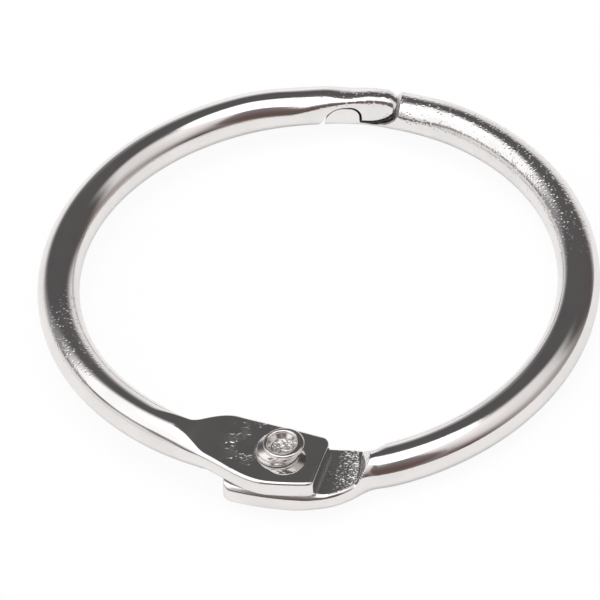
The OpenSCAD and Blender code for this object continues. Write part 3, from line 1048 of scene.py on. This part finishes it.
def make_world():
    """The room and its cards, as the plate mirrors them. The camera sees plain white behind the ring."""
    world = bpy.data.worlds.new("studio")
    bpy.context.scene.world = world
    world.use_nodes = True
    tree = world.node_tree
    tree.nodes.clear()
    place = node(tree, "TexCoord").outputs["Generated"]
    look = (*(ROOM_GAIN * part for part in linear(ROOM)), 1)
    for name, start, end, r, soft, code, gain in CARDS:
        first = bearing(*start)
        along = bearing(*end) - first
        # How far a direction lies from the line between the card's two ends
        off = node(tree, "VectorMath", {0: place, 1: first}, operation="SUBTRACT")
        dot = node(tree, "VectorMath", {0: off, 1: along / along.dot(along)}, operation="DOT_PRODUCT")
        share_along = node(tree, "Clamp", {"Value": dot})
        foot = node(tree, "VectorMath", {0: along, "Scale": share_along}, operation="SCALE")
        away = node(tree, "VectorMath", {0: off, 1: foot}, operation="DISTANCE")
        edge = {"From Min": radians(r - soft), "From Max": radians(r + soft), "To Min": 1.0, "To Max": 0.0}
        card = node(tree, "MapRange", {"Value": away, **edge}, interpolation_type="SMOOTHERSTEP")
        tint = (*(gain * part for part in linear(code)), 1)
        look = node(tree, "Mix", {0: card, 6: look, 7: tint}, name, data_type="RGBA")
    room = node(tree, "Background", {"Color": look, "Strength": 1.0})
    white = node(tree, "Background", {"Color": (1, 1, 1, 1), "Strength": 1.0})
    path = node(tree, "LightPath").outputs
    both = node(tree, "MixShader", {0: path["Is Camera Ray"], 1: room, 2: white})
    node(tree, "OutputWorld", {"Surface": both})


def camera_place():
    """The camera's place and turn, rolled a little and aimed so that the ring falls where RING_SEEN says."""
    up, around, roll = radians(CAMERA_UP), radians(CAMERA_ROUND), radians(CAMERA_ROLL)
    eye = Vector((0, -cos(up), sin(up))) * CAMERA_FAR
    back = eye.normalized()
    level = Vector((0, 0, 1)).cross(back).normalized()
    upright = back.cross(level)
    right = level * cos(roll) + upright * sin(roll)
    top = upright * cos(roll) - level * sin(roll)
    focal = LENS / SENSOR * PICTURE
    x, y = RING_SEEN[0] - PICTURE / 2, PICTURE / 2 - RING_SEEN[1]
    aim = Vector((0, 0, -1)).rotation_difference(Vector((x, y, -focal)).normalized()).to_matrix()
    turned_round = Matrix.Rotation(around, 3, "Z")
    place = (turned_round @ (aim @ Matrix((right, top, back))).transposed()).to_4x4()
    place.translation = turned_round @ eye
    return place


class RING_OT_stage(bpy.types.Operator):
    """Set the floor, the studio light and the camera"""

    bl_idname = "ring.stage"
    bl_label = "Stage"

    def execute(self, context):
        rest()
        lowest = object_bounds()[0].z
        bpy.ops.mesh.primitive_plane_add(size=FLOOR_SIZE, location=(0, 0, lowest))
        floor = bpy.context.object
        floor.name = "floor"
        bpy.ops.object.transform_apply(location=True, rotation=True, scale=True)
        floor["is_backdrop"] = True
        floor.data.materials.append(paper_floor(context))
        make_world()
        lamp = bpy.data.lights.new("overhead", "AREA")
        lamp.shape, lamp.size, lamp.energy = "DISK", LAMP_SIZE, LAMP_POWER
        over = bpy.data.objects.new("overhead", lamp)
        context.scene.collection.objects.link(over)
        over.location = (0, 0, LAMP_HEIGHT)
        over.visible_glossy = False
        camera = bpy.data.cameras.new("camera")
        camera.sensor_width, camera.lens = SENSOR, LENS
        camera.clip_start, camera.clip_end = CLIP_NEAR, CLIP_FAR
        holder = bpy.data.objects.new("camera", camera)
        context.scene.collection.objects.link(holder)
        holder.matrix_world = camera_place()
        context.scene.camera = holder
        context.scene.view_settings.view_transform = "Standard"
        return {"FINISHED"}


# ---------------------------------------------------------------- the add-on


class RING_PT_panel(bpy.types.Panel):
    """Lists the sizes, the finishes and the pieces of the ring"""

    bl_idname = "RING_PT_panel"
    bl_label = "Binder ring"
    bl_space_type = "VIEW_3D"
    bl_region_type = "UI"
    bl_category = "Binder ring"

    def draw(self, context):
        for group in GROUPS:
            box = self.layout.box()
            owner = getattr(context.scene, group)
            for key in owner.__annotations__:
                box.prop(owner, key)
        for operator in OPERATORS:
            self.layout.operator(operator.bl_idname)


GROUPS = {
    "ring_sizes": RingSizes,
    "ring_tabs": TabSizes,
    "ring_clasp": ClaspSizes,
    "ring_rivet": RivetSizes,
    "ring_finish": Finish,
    "ring_stage": StageLook,
}
OPERATORS = (RING_OT_left_half, RING_OT_right_half, RING_OT_rivet, RING_OT_stage)


def register():
    """Registers the classes, and gives the scene its groups of sizes."""
    for cls in (*GROUPS.values(), *OPERATORS, RING_PT_panel):
        bpy.utils.register_class(cls)
    for name, cls in GROUPS.items():
        setattr(bpy.types.Scene, name, bpy.props.PointerProperty(type=cls))


def unregister():
    """Takes away what register added."""
    for name in GROUPS:
        delattr(bpy.types.Scene, name)
    for cls in (RING_PT_panel, *OPERATORS, *reversed(list(GROUPS.values()))):
        bpy.utils.unregister_class(cls)


def main():
    """Registers the add-on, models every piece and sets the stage."""
    register()
    bpy.ops.ring.left_half()
    bpy.ops.ring.right_half()
    bpy.ops.ring.rivet()
    bpy.ops.ring.stage()


if __name__ == "__main__":
    main()
